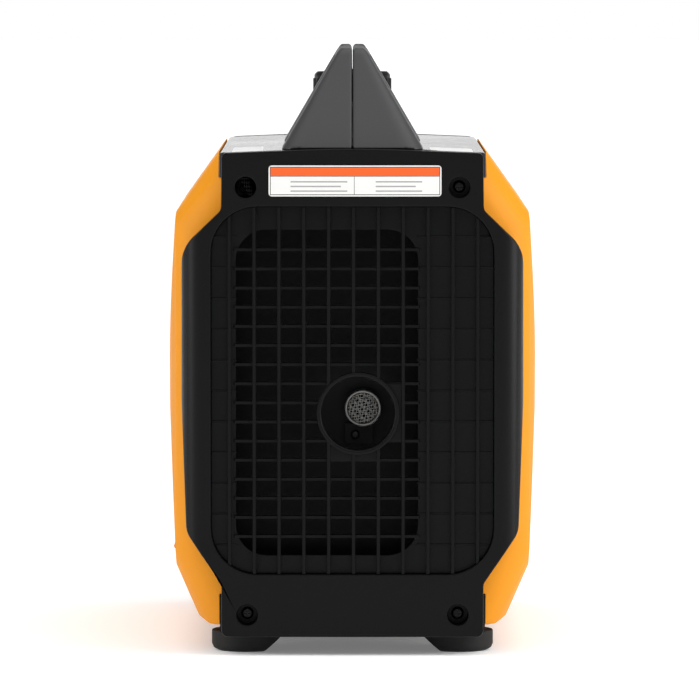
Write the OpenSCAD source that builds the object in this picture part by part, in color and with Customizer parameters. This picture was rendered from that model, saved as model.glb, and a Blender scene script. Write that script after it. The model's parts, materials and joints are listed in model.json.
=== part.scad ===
// Suitcase-style inverter generator. Millimetres, +Z up, origin on the floor under the middle.
// The exhaust end faces -Y and the control panel faces +Y.

/* [Overall] */
// Width across the side covers
body_w = 287; // [284:1:289]
// Length over the two end covers
body_l = 440; // [438:1:446]
// Height of the deck's crown above the floor
deck_z = 395; // [394:0.5:396]
// Height of the handle above the floor
handle_z = 472; // [470:1:476]
// Wall thickness of the moulded covers
wall = 3; // [2.5:0.1:3.2]

/* [Exhaust end] */
// Spacing of the upright ribs
rib_pitch = 19.3; // [18:0.1:19.5]
// Thickness of a rib
rib_t = 2.6; // [2:0.1:3.5]
// Spacing of the level slats
slat_pitch = 14.9; // [14:0.1:15]
// Thickness of a slat
slat_t = 2.2; // [1.5:0.1:3]
// Inside radius of the exhaust collar
collar_r = 28.6; // [27:0.1:29]
// Outside radius of the exhaust tip
tip_r = 14.7; // [13:0.1:16]

/* [Deck] */
// Radius of the fuel cap
cap_r = 32.5; // [31:0.5:35]
// Distance of the fuel cap from the middle, toward the control panel
cap_y = 140; // [138:1:142]
// Half-width of the handle's legs at the deck
leg_w = 54.2; // [50:0.2:56]

/* [Engine] */
// Height of the crankshaft's axis
crank_z = 120; // [118:1:122]
// Bore radius of the cylinder
bore_r = 24; // [22:0.5:25]
// Piston travel
stroke = 44; // [42:1:46]
// Radius at which the starter rope winds
reel_r = 44; // [43:0.5:45]

/* [Hidden] */
$fn = 48;

half_w = body_w / 2;
half_l = body_l / 2;
gap = 0.3;                      // clearance between neighbouring mouldings
screw_r = 2.5;                  // shank of every cover screw
far = 400;                      // longer than anything in the part

// ---- outlines: each point is [x, y, corner radius] ----

function unit(v) = v / norm(v);

// Points of an arc about c, from angle a0 to a1
function arc(c, r, a0, a1, n) =
    [for (i = [0:n]) let (a = a0 + (a1 - a0) * i / n) c + r * [cos(a), sin(a)]];

// Shortest signed turn from angle a0 to a1
function turn(a0, a1) = let (d = a1 - a0) d > 180 ? d - 360 : d < -180 ? d + 360 : d;

// Arc that rounds the corner p between its neighbours a and b
function fillet(a, p, b, r, n) =
    let (u = unit(a - p), v = unit(b - p), half = acos(u * v) / 2, c = p + unit(u + v) * r / sin(half),
         s = p + u * r / tan(half) - c, e = p + v * r / tan(half) - c,
         a0 = atan2(s.y, s.x), a1 = atan2(e.y, e.x))
    arc(c, r, a0, a0 + turn(a0, a1), n);

function flat(p) = [p.x, p.y];

// Closed outline with each corner rounded by its own radius
function rounded(pts, n = 6) = let (m = len(pts)) [for (i = [0:m - 1])
    each pts[i][2] == 0 ? [flat(pts[i])]
        : fillet(flat(pts[(i + m - 1) % m]), flat(pts[i]), flat(pts[(i + 1) % m]), pts[i][2], n)];

// Outline moved inwards by t, its corners mitred
function inset(pts, t) = let (m = len(pts)) [for (i = [0:m - 1])
    let (p = pts[i], d1 = unit(p - pts[(i + m - 1) % m]), d2 = unit(pts[(i + 1) % m] - p),
         n1 = [d1.y, -d1.x], n2 = [d2.y, -d2.x]) p - t * (n1 + n2) / (1 + n1 * n2)];

// Rounded rectangle between two corners
function plate_outline(lo, hi, r, n = 6) =
    rounded([[lo.x, lo.y, r], [hi.x, lo.y, r], [hi.x, hi.y, r], [lo.x, hi.y, r]], n);

// Right half of a list of points, its top point on the middle line, and the mirrored left half
function both_sides(pts, top) = let (m = len(pts))
    concat(pts, [top], [for (i = [m - 1:-1:0]) [-pts[i].x, pts[i].y, pts[i][2]]]);

// ---- solids placed by their limits ----

module span(lo, hi) translate(lo) cube(hi - lo);
module slab_x(x0, x1) translate([x0, 0, 0]) rotate([90, 0, 90]) linear_extrude(x1 - x0) children();
module slab_y(y0, y1) translate([0, y1, 0]) rotate([90, 0, 0]) linear_extrude(y1 - y0) children();
module slab_z(z0, z1) translate([0, 0, z0]) linear_extrude(z1 - z0) children();
module rod_x(r, x0, x1) translate([x0, 0, 0]) rotate([0, 90, 0]) cylinder(r = r, h = x1 - x0);
module rod_y(r, y0, y1) translate([0, y0, 0]) rotate([-90, 0, 0]) cylinder(r = r, h = y1 - y0);
module rod_z(r, z0, z1) translate([0, 0, z0]) cylinder(r = r, h = z1 - z0);
module both() for (side = [0, 1]) mirror([side, 0, 0]) children();

// ---- the body's skin ----

skin_l = half_l - 22;           // the side covers end here, under the end covers
corner_r = 42;                  // the side covers' end corners, in plan
mid_z = 206;                    // the level that the bevels are measured from
shoulder = [half_w - 5.1, 344]; // where the side meets the upper bevel
crown = [104.6, 391.4];         // where the upper bevel meets the deck
knee = [half_w - 5.1, 66];      // where the side meets the lower bevel
sill = [121, 26.5];             // where the lower bevel meets the underside
skin_inner_x = 60;
bulge = 1.5;                    // the side's arc is this far inside its corner point

function skin_outline(inner_x) = rounded([
    [inner_x, 21, 0], [112, 21, 6], [sill.x, sill.y, 8], [knee.x, knee.y, 8],
    [half_w + bulge, 232, 1250], [shoulder.x, shoulder.y, 8], [crown.x, crown.y, 4],
    [crown.x - 4, 392.4, 0], [inner_x, 392.4, 0]]);

// Direction that a face looks, from the level outward, when it runs from a up to b
function bevel_angle(a, b) = atan2(a.x - b.x, b.y - a.y);
upper_angle = bevel_angle(shoulder, crown);
lower_angle = bevel_angle(sill, knee);

function reach_of(p, angle) = p.x * cos(angle) + (p.y - mid_z) * sin(angle);
upper_reach = reach_of(crown, upper_angle);
lower_reach = reach_of(knee, lower_angle);
ease = 0.3;                     // the end rounding starts this far outside its face

// Everything inside one face of the skin, with that face's two ends rounded
module end_round(angle, reach, t) translate([0, 0, mid_z]) rotate([0, -angle, 0])
    linear_extrude(2 * far, center = true) polygon(rounded([
        [-far, t - skin_l - 1, 0], [reach + ease - t, t - skin_l - 0.1, corner_r - t],
        [reach + ease - t, skin_l - t + 0.1, corner_r - t], [-far, skin_l - t + 1, 0]], 9));

// Right half of the body, drawn in by t
module half_body(t, inner_x) intersection() {
    slab_y(t - skin_l, skin_l - t) polygon(inset(skin_outline(inner_x), t));
    end_round(0, half_w, t);
    end_round(upper_angle, upper_reach, t);
    end_round(lower_angle, lower_reach, t);
}

// Puts a child on a bevel, its +Z along the bevel's outward normal
module on_bevel(angle, reach, along, y) translate([0, 0, mid_z]) rotate([0, -angle, 0])
    translate([reach, y, along]) rotate([0, 90, 0]) children();

// ---- end covers ----

crease = 2;                     // how far each half of the face falls back at its outer edge
label_t = 0.4;
face_y = half_l - label_t;      // the face at its centre crease
cover_half = 133;               // half-width of the cover's wide part
cover_outline = rounded(both_sides([
    [102, 14.7, 5], [102, 56, 8], [129.5, 96, 18], [cover_half + 0.2, 200, 400],
    [cover_half, 317, 28], [102, 347, 8], [101.5, 391.4, 4]], [0, deck_z + 0.6, 1200]));
recess_outline = plate_outline([-110, 63.5], [110, 350], 36, 9);
opening_outline = plate_outline([-90.6, 78], [51, 332], 24, 9);
upper_screw = [83, 365];
lower_screw = [82, 32];
pocket_r = 8.2;

function face_at(x) = face_y - crease * abs(x) / cover_half;

// Solid that an end cover is cut from, drawn in by t, at the +Y end
module cover_block(t) intersection() {
    slab_y(skin_l - 40, half_l) polygon(inset(cover_outline, t));
    slab_z(0, far) polygon(inset(rounded([
        [cover_half + 0.5, 0, 0], [cover_half + 0.5, face_at(cover_half + 0.5), 20], [0, face_y, 0],
        [-cover_half - 0.5, face_at(cover_half + 0.5), 20], [-cover_half - 0.5, 0, 0]], 9), t));
}

// The four screw places of an end cover
module at_cover_screws() both() {
    translate([upper_screw.x, 0, upper_screw.y]) children();
    translate([lower_screw.x, 0, lower_screw.y]) children();
}

// Bare shell of an end cover, at the +Y end
module cover_shell() difference() {
    union() {
        difference() {
            cover_block(0);
            translate([0, -0.01, 0]) cover_block(wall);
        }
        intersection() {
            at_cover_screws() rod_y(pocket_r + 2.4, skin_l + 0.2, face_y - 1);
            cover_block(0);
        }
    }
    span([-104, 0, deck_z - 23.5], [104, skin_l + 0.2, far]);
    span([-104, 0, 0], [104, skin_l + 0.2, 46]);
    both() half_body(-gap, -10);
    at_cover_screws() rod_y(pocket_r, skin_l + 4, half_l + 1);
    at_cover_screws() rod_y(screw_r + 0.2, skin_l - 1, half_l);
}

module rear_cover() color([0.11, 0.11, 0.12]) mirror([0, 1, 0]) difference() {
    union() {
        cover_shell();
        slab_y(half_l - 14, face_y - 2.5) polygon(inset(recess_outline, -2.5));
    }
    slab_y(half_l - 30, half_l + 1) polygon(recess_outline);
}

rib_back = half_l - 12;         // back of the grille's floor
rib_front = half_l - 2.6;
floor_front = half_l - 9;
collar_at = [4.3, 189];
margin_lines = 11;

module grille_plates() {
    span([collar_at.x, rib_back, 168], [40, rib_front - 2.5, 212]);
    span([-18, rib_back, 152], [20, rib_front - 2.5, 172]);
}

module rear_grille() color([0.11, 0.11, 0.12]) mirror([0, 1, 0]) difference() {
    intersection() {
        slab_y(rib_back - 6, rib_front) polygon(inset(recess_outline, 0.2));
        union() {
            difference() {
                slab_y(rib_back, floor_front) polygon(recess_outline);
                slab_y(rib_back - 1, half_l) polygon(opening_outline);
            }
            for (k = [-5:5]) translate([0.8 + rib_pitch * k - rib_t / 2, 0, 0])
                span([0, rib_back, 0], [rib_t, rib_front, far]);
            for (i = [0:15]) translate([0, 0, 92.9 + slat_pitch * i - slat_t / 2])
                span([-92, rib_back - 4, 0], [52, rib_front - 4, slat_t]);
            for (i = [0:margin_lines - 1]) translate([0, 0, 86 + 24 * i])
                difference() {
                    span([-120, floor_front - 1, 0], [120, floor_front + 0.5, 1]);
                    span([-90, floor_front - 2, -1], [50, half_l, 2]);
                }
            grille_plates();
        }
    }
    translate([collar_at.x, 0, collar_at.y]) rod_y(collar_r + 2.8, 0, half_l);
}

module exhaust_collar() color([0.13, 0.13, 0.14]) mirror([0, 1, 0])
    translate([collar_at.x, 0, collar_at.y]) difference() {
        union() {
            rod_y(collar_r + 2.7, skin_l, rib_front);
            rod_y(collar_r + 3.4, rib_front, rib_front + 1.2);
        }
        rod_y(collar_r, skin_l - 1, half_l);
    }

// Pan-head screw with a cross recess: head at z = 0 and shank down
module cross_screw(r, head_r, length) difference() {
    union() {
        rod_z(r, -length, 0);
        rotate_extrude() polygon([[0, 0], [head_r, 0], [head_r, 1.4], [head_r * 0.7, 2.8], [0, 3.2]]);
    }
    for (a = [0, 90]) rotate(a) span([-head_r * 0.62, -0.5, 1.4], [head_r * 0.62, 0.5, 4]);
}

module cover_screws() color("silver") at_cover_screws() translate([0, skin_l + 4, 0]) rotate([-90, 0, 0])
    cross_screw(screw_r, 4.8, 14);

module rear_cover_screws() mirror([0, 1, 0]) cover_screws();
module front_cover_screws() cover_screws();

module rear_label() color([0.9, 0.45, 0.2]) mirror([0, 1, 0]) slab_z(358, 382)
    polygon([[-65, face_at(65)], [0, face_y], [69, face_at(69)],
             [69, face_at(69) + label_t], [0, half_l], [-65, face_at(65) + label_t]]);

panel_outline = plate_outline([-98, 168], [98, 352], 14);
panel_y = half_l - 12;          // face of the control panel
louvre_count = 7;

module front_cover() color([0.11, 0.11, 0.12]) difference() {
    union() {
        cover_shell();
        slab_y(panel_y - 6, face_y - 2.5) polygon(inset(panel_outline, -2.5));
    }
    slab_y(skin_l, half_l + 1) polygon(panel_outline);
    for (i = [0:louvre_count - 1]) for (x = [-81, -26, 29]) translate([x, 0, 68 + 12 * i])
        slab_y(skin_l, half_l + 1) polygon(plate_outline([0, 0], [52, 6], 2.9));
}

// ---- side covers, door, deck and base ----

door_y = [-80, 60];
door_z = [72, 290];
door_gap = 0.8;
latch_at = [-10, 272];
hinge_x = half_w - 3.1;
hinge_z = door_z[0] - 0.4;
knuckle_r = 2.6;
pin_r = 1.2;
hinge_ys = [-50, 30];
// Opening between the side covers' end walls, hidden by an end cover
window_outline = rounded(both_sides([[76, 47, 5], [107, 86, 12], [107, 328, 12], [76, 352, 5]], [0, 352.5, 0]));
side_bevels = [[upper_angle, upper_reach, 51.7], [lower_angle, lower_reach, -93.2]];
bevel_screw_y = 148;
rope_y = 121;
grip_at = [rope_y, crank_z + reel_r];   // the starter grip's place on the right side: y and z

module at_side_screws() for (b = side_bevels) for (y = [-bevel_screw_y, bevel_screw_y])
    on_bevel(b[0], b[1], b[2], y) children();

// Right side cover with nothing cut for the door or the grip
module side_cover_shell() difference() {
    union() {
        difference() {
            half_body(0, skin_inner_x);
            half_body(wall, skin_inner_x - 20);
        }
        at_side_screws() rod_z(9.4, -11, -1);
        for (y = [-skin_l + 2, skin_l - 11]) translate([upper_screw.x, y, upper_screw.y])
            rod_y(6, 0, 9);
    }
    slab_y(-far, far) polygon(window_outline);
    span([0, -far, deck_z - 23.5], [104.3, far, far]);
    span([0, -far, 0], [103.9, far, 46]);
    at_side_screws() rod_z(7, -8.5, 1);
    at_side_screws() rod_z(screw_r + 0.1, -20, 1);
    for (s = [0, 1]) mirror([0, s, 0]) translate([upper_screw.x, 0, upper_screw.y])
        rod_y(screw_r + 0.1, skin_l - 14, skin_l + 1);
}

grip_pocket = plate_outline([grip_at.x - 46, grip_at.y - 26], [grip_at.x + 46, grip_at.y + 26], 12);
pocket_x = half_w - 30;

module right_side_cover() color([0.97, 0.6, 0.15]) difference() {
    union() {
        side_cover_shell();
        intersection() {
            slab_x(pocket_x - wall, half_w) polygon(inset(grip_pocket, -wall));
            half_body(0, skin_inner_x);
        }
    }
    slab_x(pocket_x, half_w + 1) polygon(grip_pocket);
    translate([0, grip_at.x, grip_at.y]) rod_x(4, pocket_x - 10, pocket_x + 1);
}

module door_block(t) slab_x(half_w - 12, half_w + 1)
    polygon(plate_outline([door_y[0] + t, door_z[0] + t], [door_y[1] - t, door_z[1] - t], 10 - t));

// Hinge knuckles between two distances from each hinge's middle
module knuckles(from, to) for (y = hinge_ys) for (s = [-1, 1])
    translate([hinge_x, y, hinge_z]) rod_y(knuckle_r, min(s * from, s * to), max(s * from, s * to));

catch_x = half_w - 14;

module left_side_cover() color([0.97, 0.6, 0.15]) mirror([1, 0, 0]) difference() {
    union() {
        difference() {
            side_cover_shell();
            door_block(0);
            for (y = hinge_ys) translate([hinge_x, y, hinge_z]) rod_y(knuckle_r + 0.4, -9, 9);
        }
        knuckles(9.3, 15);
        for (y = hinge_ys) for (s = [-1, 1]) translate([0, y + s * 12.15, 0])
            span([hinge_x - 3.4, -2.85, hinge_z - 4], [hinge_x - 0.5, 2.85, hinge_z - 0.2]);
        span([catch_x, latch_at.x - 14, door_z[1] - 26], [catch_x + 3, latch_at.x + 14, door_z[1] + 6]);
        span([catch_x, latch_at.x - 14, door_z[1] + 3], [half_w - 4, latch_at.x + 14, door_z[1] + 6]);
    }
    for (y = hinge_ys) translate([hinge_x, y, hinge_z]) rod_y(pin_r, -16, 16);
    translate([0, latch_at.x, latch_at.y]) rod_x(5, catch_x - 1, catch_x + 4);
}

module service_door() color([0.97, 0.6, 0.15]) mirror([1, 0, 0]) difference() {
    union() {
        intersection() {
            difference() {
                half_body(0, skin_inner_x);
                half_body(wall, skin_inner_x - 20);
            }
            door_block(door_gap);
        }
        translate([0, latch_at.x, latch_at.y]) rod_x(14, half_w - 8, half_w - 3.4);
        knuckles(0, 8.7);
        for (y = hinge_ys) translate([0, y, 0])
            span([hinge_x - 2.2, -8.7, hinge_z], [hinge_x + 0.2, 8.7, hinge_z + 4]);
    }
    translate([0, latch_at.x, latch_at.y]) rod_x(11.3, half_w - 6, half_w + 1);
    translate([0, latch_at.x, latch_at.y]) rod_x(3.05, half_w - 20, half_w + 1);
    for (y = hinge_ys) for (s = [-1, 1]) translate([hinge_x, y + s * 12.3, hinge_z])
        rod_y(knuckle_r + 0.4, -3.3, 3.3);
    for (y = hinge_ys) translate([hinge_x, y, hinge_z]) rod_y(pin_r + 0.05, -16, 16);
}

module door_hinge_pins() color("silver") mirror([1, 0, 0])
    for (y = hinge_ys) translate([hinge_x, y, hinge_z]) rod_y(pin_r, -15, 15);

module service_door_latch() color([0.15, 0.15, 0.16]) mirror([1, 0, 0])
    translate([0, latch_at.x, latch_at.y]) difference() {
        union() {
            rod_x(11, half_w - 5.9, half_w - 2.4);
            rod_x(3, catch_x - 1, half_w - 5);
        }
        span([half_w - 4, -8, -1.2], [half_w, 8, 1.2]);
    }

module side_cover_screws() color("silver") both() at_side_screws() translate([0, 0, -8.5])
    cross_screw(screw_r, 4.6, 12);

neck_r = 24;
boss_z = deck_z + 27;
deck_top = [
    [103.8, 372, 0], [103.8, 391.3, 3], [0, deck_z + 0.4, 1200], [-103.8, 391.3, 3], [-103.8, 372, 0]];
deck_hollow = [[-101, 371, 0], [101, 371, 0], [101, 388.2, 0], [0, deck_z - 3.4, 0], [-101, 388.2, 0]];
leg_ys = [-161, 45];            // middles of the handle's two legs
leg_screw_x = 22;

module at_leg_screws() both() for (y = leg_ys) translate([leg_screw_x, y, 0]) children();

module top_cover() color([0.3, 0.3, 0.31]) difference() {
    union() {
        difference() {
            slab_y(-skin_l - 0.1, skin_l + 0.1) polygon(rounded(deck_top, 12));
            slab_y(-skin_l - 1, skin_l + 1) polygon(rounded(deck_hollow));
        }
        translate([0, cap_y, 0]) rotate_extrude()
            polygon([[neck_r, 389], [47, 389], [43, 397], [40, 404], [39, boss_z - 2], [37, boss_z],
                [neck_r, boss_z]]);
    }
    translate([0, cap_y, 0]) rod_z(neck_r + 3, 380, boss_z + 1);
    at_leg_screws() rod_z(2.7, 380, 400);
}

module base_pan() color([0.15, 0.15, 0.16]) difference() {
    span([-103.6, -skin_l + 0.3, 16], [103.6, skin_l - 0.3, 45]);
    span([-100.6, -skin_l + 3.3, 19], [100.6, skin_l - 3.3, 46]);
    for (s = [0, 1]) mirror([0, s, 0]) both() translate([lower_screw.x, 0, lower_screw.y])
        rod_y(screw_r + 0.1, skin_l - 5, skin_l + 1);
    for (x = [-70:20:70]) for (y = [-120, 60])
        slab_z(15, 20) polygon(plate_outline([x - 4, y], [x + 4, y + 50], 3.9));
}

foot_at = [83, 168];
foot_r = 27.5;

module rubber_feet() color([0.08, 0.08, 0.08]) both() for (y = [-foot_at.y, foot_at.y])
    translate([foot_at.x, y, 0]) difference() {
        rotate_extrude()
            polygon([[0, 0], [foot_r - 5, 0], [foot_r - 1.5, 1.6], [foot_r, 5], [foot_r, 15.8], [0, 15.8]]);
        slab_y(-foot_r, foot_r) polygon([[-30, -1], [-12.5, -1], [-29, 12], [-30, 12]]);
    }

seam = 0.2;
leg_l = 86;

// One leg of the right half, its outer face leaning in toward the grip
module handle_leg(y, lean) hull() {
    translate([0, y, deck_z - 3.5]) linear_extrude(0.5) polygon(plate_half(leg_w + 2.2, leg_l / 2, 16));
    translate([0, y + lean * 14, handle_z - 5]) linear_extrude(1) polygon(plate_half(12.4, leg_l / 2 - 26, 6));
    translate([1.5, y + lean * 14, handle_z - 1]) linear_extrude(1) polygon(plate_half(7.5, leg_l / 2 - 30, 3));
}

// Right half of a rounded rectangle, its straight edge on the seam
function plate_half(w, half_len, r) =
    rounded([[seam, -half_len, 0], [w, -half_len, r], [w, half_len, r], [seam, half_len, 0]]);

grip_section = rounded([[seam, handle_z - 31, 0], [14, handle_z - 31, 8], [14, handle_z - 1, 8],
    [seam + 1.5, handle_z - 0.5, 0], [seam, handle_z - 2, 0]]);

module handle_half() difference() {
    union() {
        handle_leg(leg_ys[0], 1);
        handle_leg(leg_ys[1], -1);
        slab_y(leg_ys[0] + 10, leg_ys[1] - 10) polygon(grip_section);
    }
    slab_y(-half_l, skin_l) polygon(rounded(deck_top, 12));
    translate([0, 0, 0.3]) slab_y(-half_l, -skin_l - 0.1) polygon(rounded(deck_top, 12));
    for (y = leg_ys) translate([leg_screw_x, y, 0]) rod_z(2.2, deck_z - 5, deck_z + 20);
}

module handle_right() color([0.3, 0.3, 0.31]) handle_half();
module handle_left() color([0.3, 0.3, 0.31]) mirror([1, 0, 0]) handle_half();
module handle_screws() color("silver") at_leg_screws() translate([0, 0, deck_z - 4.3]) rotate([180, 0, 0])
    cross_screw(2, 4.5, 22);

// ---- fuel ----

neck_top = boss_z + 4;
cap_top = handle_z - 24;

module fuel_tank() color([0.75, 0.75, 0.72]) difference() {
    union() {
        slab_y(-74, 186) polygon(plate_outline([-93, 302], [93, 382], 22));
        translate([0, cap_y, 0]) rod_z(neck_r, 370, neck_top);
    }
    slab_y(-71, 183) polygon(plate_outline([-90, 305], [90, 379], 19));
    translate([0, cap_y, 0]) rod_z(neck_r - 3, 360, neck_top + 1);
}

module fuel_strainer() color([0.9, 0.9, 0.85]) translate([0, cap_y, 0]) difference() {
    union() {
        rod_z(neck_r - 4, 345, neck_top - 2);
        rod_z(neck_r - 3.1, neck_top - 6, neck_top - 2);
    }
    rod_z(neck_r - 6, 347, neck_top);
}

module fuel_cap_gasket() color([0.1, 0.1, 0.1]) translate([0, cap_y, 0]) difference() {
    rod_z(neck_r, neck_top + 0.1, neck_top + 2.5);
    rod_z(neck_r - 6, neck_top - 1, neck_top + 3);
}

cap_ribs = 28;

module fuel_cap() color([0.12, 0.12, 0.13]) translate([0, cap_y, 0]) difference() {
    union() {
        rotate_extrude() polygon([[0, boss_z + 1], [cap_r - 1.2, boss_z + 1], [cap_r - 1, cap_top - 3],
            [cap_r - 3.5, cap_top - 0.4], [0, cap_top]]);
        for (i = [0:cap_ribs - 1]) rotate(i * 360 / cap_ribs) translate([cap_r - 1.7, 0, 0])
            rod_z(1.7, boss_z + 2, cap_top - 6);
    }
    rod_z(neck_r + 0.4, boss_z, neck_top + 2.6);
    rod_z(3.3, boss_z, cap_top + 1);
    rod_z(10, cap_top - 5, cap_top + 1);
}

module fuel_cap_vent() color([0.14, 0.14, 0.15]) translate([0, cap_y, 0]) {
    rod_z(3, neck_top + 3, cap_top - 4.8);
    rod_z(9, cap_top - 4.8, cap_top - 2.6);
    span([-2, -8.4, cap_top - 2.6], [2, 8.4, cap_top + 1.6]);
}

// ---- engine ----

crank_y = -12;
web_t = 12;
web_r = 36;
pin_half = 9.7;                 // half-length of the crankpin, clear of the webs
shaft_r = 10;
throw = stroke / 2;
rod_len = 80;
case_y = [-62, 38];
deck_h = 46;                    // crankshaft axis to the cylinder's foot
cyl_top = 124;                  // crankshaft axis to the cylinder's top
head_top = 162;

module at_crank() translate([0, crank_y, crank_z]) children();

module crankcase() color([0.6, 0.61, 0.62]) at_crank() difference() {
    union() {
        slab_y(case_y[0] - crank_y, case_y[1] - crank_y) polygon(plate_outline([-62, -56], [62, deck_h], 14));
        for (x = [-50, 50]) for (y = [-36, 36]) translate([x, y, 0]) rod_z(13, -60, -40);
        translate([0, 24, -24]) rod_x(16, -74, -50);
    }
    rod_y(web_r + 3, -30, 30);
    rod_y(26.05, -44, 44);
    rod_y(shaft_r + 1.5, -80, 80);
    rod_z(bore_r + 2.6, 0, 60);
    translate([0, 24, -24]) rod_x(10.3, -75, -40);
    for (x = [-50, 50]) for (y = [-36, 36]) translate([x, y, 0]) rod_z(4.2, -61, -42);
}

module crank_bearings() color("silver") at_crank() for (s = [0, 1]) mirror([0, s, 0]) difference() {
    rod_y(26, 31, 44);
    rod_y(shaft_r + 0.05, 30, 45);
    difference() {
        rod_y(21, 30, 33);
        rod_y(15, 29, 34);
    }
}

module crankshaft() color("silver") at_crank() {
    for (s = [0, 1]) mirror([0, s, 0]) difference() {
        rod_y(web_r, 10, 10 + web_t);
        for (a = [55, 125]) translate([24 * cos(a), 0, 24 * sin(a)]) rod_y(7, 9, 11 + web_t);
    }
    rod_y(shaft_r, -46, -10 - web_t);
    rod_y(shaft_r, 10 + web_t, 118);
    rod_y(14, 22, 30.5);
    rod_y(14, -30.5, -22);
}

module crankpin() color("silver") at_crank() translate([0, 0, throw]) rod_y(8, -pin_half, pin_half);

module connecting_rod() color([0.7, 0.71, 0.72]) at_crank() translate([0, 0, throw]) difference() {
    union() {
        rod_y(15, -8.5, 8.5);
        translate([0, 0, rod_len]) rod_y(10, -8.5, 8.5);
        span([-7, -5, 12], [7, 5, rod_len - 7]);
    }
    rod_y(8.05, -10, 10);
    translate([0, 0, rod_len]) rod_y(5.05, -10, 10);
}

module piston() color([0.78, 0.79, 0.8]) at_crank() translate([0, 0, throw + rod_len]) {
    difference() {
        rod_z(bore_r - 0.1, -16, 18);
        rod_z(bore_r - 5, -17, 11);
        rod_y(5, -far, far);
        for (z = [6, 10, 14]) difference() {
            rod_z(bore_r + 1, z, z + 1.6);
            rod_z(bore_r - 1.6, z - 1, z + 3);
        }
    }
    rod_y(5, 1 - bore_r, bore_r - 1);
}

fin_count = 7;

module engine_cylinder() color([0.62, 0.63, 0.64]) at_crank() difference() {
    union() {
        rod_z(bore_r + 7, deck_h, cyl_top);
        span([-40, -36, deck_h], [40, 36, deck_h + 6]);
        for (i = [0:fin_count - 1]) slab_z(deck_h + 12 + 9 * i, deck_h + 15 + 9 * i)
            polygon(plate_outline([-46, -40], [46, 40], 12));
        rod_z(bore_r + 2.5, deck_h - 10, deck_h + 2);
    }
    rod_z(bore_r, deck_h - 11, cyl_top + 1);
}

intake_z = 142;                 // height of both ports above the crankshaft's axis
port_z = intake_z;
port_x = 12;

module cylinder_head() color([0.62, 0.63, 0.64]) at_crank() difference() {
    union() {
        slab_z(cyl_top, cyl_top + 12) polygon(plate_outline([-46, -40], [46, 40], 12));
        slab_z(cyl_top + 12, head_top - 4) polygon(plate_outline([-36, -34], [36, 34], 10));
        slab_z(head_top - 4, head_top) polygon(plate_outline([-32, -30], [32, 30], 8));
        for (x = [14, 24, 34]) span([x, -40, cyl_top + 11], [x + 2.5, 40, cyl_top + 26]);
        translate([0, 0, intake_z]) rod_x(14, -48, -30);
        translate([port_x, 0, port_z]) rod_y(13, -58, -30);
    }
    translate([0, 0, intake_z]) rod_x(9, -49, -24);
    translate([port_x, 0, port_z]) rod_y(8, -59, -24);
    translate([0, 8, port_z]) rod_x(5, 20, 50);
    translate([0, 8, port_z]) rod_x(9.6, 36.8, 50);
}

module spark_plug() color([0.9, 0.9, 0.88]) at_crank() translate([0, 8, port_z]) {
    rod_x(4.9, 22, 38);
    translate([38, 0, 0]) rotate([0, 90, 0]) cylinder(r = 9, h = 9, $fn = 6);
    rod_x(5, 47, 66);
}

module spark_plug_boot() color([0.08, 0.08, 0.08]) at_crank() translate([0, 8, port_z]) difference() {
    union() {
        rod_x(9, 49, 74);
        translate([68, 0, 0]) rod_y(6, 0, 22);
    }
    rod_x(5.1, 48, 67);
}

module carburetor() color([0.68, 0.69, 0.7]) at_crank() translate([0, 0, intake_z]) difference() {
    union() {
        rod_x(13, -84, -48.2);
        slab_x(-76, -54) polygon(plate_outline([-16, -16], [16, 18], 5));
        translate([-65, 0, 0]) rod_z(15, -42, -15);
        translate([-65, 0, 0]) rod_y(5, 14, 26);
        slab_x(-51.2, -48.2) polygon(plate_outline([-20, -14], [20, 14], 6));
    }
    rod_x(8.5, -85, -48);
}

filter_lo = [-126, -76, 222];
filter_hi = [-96.2, 40, 296];

module air_cleaner() color([0.13, 0.13, 0.14]) difference() {
    union() {
        slab_x(filter_lo.x, filter_hi.x)
            polygon(plate_outline([filter_lo.y, filter_lo.z], [filter_hi.y, filter_hi.z], 10));
        translate([0, crank_y, crank_z + intake_z]) rod_x(13, filter_hi.x - 1, -84.2);
    }
    slab_x(filter_lo.x + 2.5, filter_hi.x - 2.5) polygon(
        plate_outline([filter_lo.y + 2.5, filter_lo.z + 2.5], [filter_hi.y - 2.5, filter_hi.z - 2.5], 7.5));
    translate([0, crank_y, crank_z + intake_z]) rod_x(9, filter_hi.x - 5, -84);
}

module air_cleaner_element() color([0.25, 0.25, 0.24]) slab_x(filter_lo.x + 4, filter_hi.x - 8)
    polygon(plate_outline([filter_lo.y + 4, filter_lo.z + 4], [filter_hi.y - 4, filter_hi.z - 4], 6));

module oil_filler_cap() color([0.9, 0.75, 0.1]) translate([0, crank_y + 24, crank_z - 24]) {
    rod_x(10, -75, -48);
    rod_x(15, -84, -74.3);
    span([-92, -2.5, -13], [-83, 2.5, 13]);
}

module engine_mounts() color([0.08, 0.08, 0.08]) translate([0, crank_y, 0])
    for (x = [-50, 50]) for (y = [-36, 36]) translate([x, y, 0]) {
        rod_z(14, 19, crank_z - 60.1);
        rod_z(4, crank_z - 61, crank_z - 44);
    }

// ---- alternator and fan ----

stator_y = [case_y[1] - crank_y, case_y[1] - crank_y + 28];

module alternator_stator() color([0.7, 0.42, 0.2]) at_crank() difference() {
    union() {
        rod_y(30, stator_y[0], stator_y[1]);
        for (i = [0:11]) rotate([0, 30 * i, 0]) span([26, stator_y[0] + 3, -5], [48, stator_y[1] - 3, 5]);
    }
    rod_y(18, 0, stator_y[1] + 1);
}

module alternator_rotor() color([0.4, 0.4, 0.42]) at_crank() difference() {
    union() {
        rod_y(58, stator_y[0] + 1, stator_y[1] + 6);
    }
    rod_y(50, stator_y[0], stator_y[1] + 1);
    rod_y(shaft_r + 4, stator_y[1], stator_y[1] + 7);
}

hub_y = [stator_y[1] + 1, stator_y[1] + 34];
fan_blades = 12;

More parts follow.
